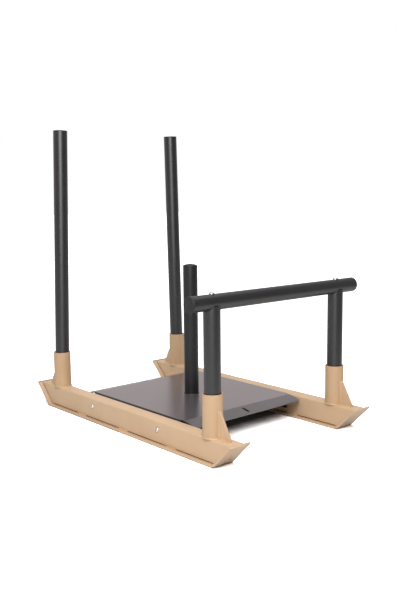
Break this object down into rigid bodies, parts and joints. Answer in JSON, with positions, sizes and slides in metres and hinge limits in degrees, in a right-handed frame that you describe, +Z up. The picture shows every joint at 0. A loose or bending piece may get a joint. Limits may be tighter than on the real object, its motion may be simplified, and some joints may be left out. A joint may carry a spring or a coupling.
{
  "type": "push sled",
  "caption": "Push sled with two skid runners, a slotted deck with an upright weight post, lift-out tall push poles and a lift-out low push bar.",
  "frame": {"origin": "on the floor under the middle of the sled", "axes": "+X towards the end with the low push bar, +Y across the sled to its left, +Z up"},
  "size_m": [1.0668, 0.714, 1.0032],
  "materials": {
    "tan_paint": "satin powder coat",
    "black_paint": "satin powder coat",
    "deck_paint": "smooth satin powder coat",
    "cap_plastic": "matte",
    "zinc_steel": "bright zinc",
    "bare_steel": "machined"
  },
  "bodies": {
    "sled": {"right_shoe": "tan_paint", "left_shoe": "tan_paint", "right_runner_tube": "tan_paint", "left_runner_tube": "tan_paint", "right_rear_socket": "tan_paint", "right_front_socket": "tan_paint", "left_rear_socket": "tan_paint", "left_front_socket": "tan_paint", "right_rear_gusset": "tan_paint", "right_front_gusset": "tan_paint", "left_rear_gusset": "tan_paint", "left_front_gusset": "tan_paint", "deck": "deck_paint", "weight_post": "black_paint", "weight_post_cap": "cap_plastic", "right_rear_deck_bolt": "zinc_steel", "right_front_deck_bolt": "zinc_steel", "left_rear_deck_bolt": "zinc_steel", "left_front_deck_bolt": "zinc_steel", "right_rear_washer": "zinc_steel", "right_front_washer": "zinc_steel", "left_rear_washer": "zinc_steel", "left_front_washer": "zinc_steel", "right_rear_nut": "zinc_steel", "right_front_nut": "zinc_steel", "left_rear_nut": "zinc_steel", "left_front_nut": "zinc_steel"},
    "right_pole": {"right_push_pole": "black_paint", "right_pole_cap": "cap_plastic"},
    "left_pole": {"left_push_pole": "black_paint", "left_pole_cap": "cap_plastic"},
    "push_bar_frame": {"push_bar": "black_paint", "right_bar_cap": "cap_plastic", "left_bar_cap": "cap_plastic", "right_front_post": "black_paint", "left_front_post": "black_paint", "right_post_plug": "bare_steel", "left_post_plug": "bare_steel", "right_bar_bolt": "zinc_steel", "left_bar_bolt": "zinc_steel"}
  },
  "joints": [
    {"name": "right_pole_lift", "type": "slide", "parent": "sled", "child": "right_pole", "axis": [0, 0.0279, 0.9996], "range_m": [0, 0.14]},
    {"name": "left_pole_lift", "type": "slide", "parent": "sled", "child": "left_pole", "axis": [0, -0.0209, 0.9998], "range_m": [0, 0.14]},
    {"name": "push_bar_lift", "type": "slide", "parent": "sled", "child": "push_bar_frame", "axis": [0, 0, 1], "range_m": [0, 0.14]}
  ]
}
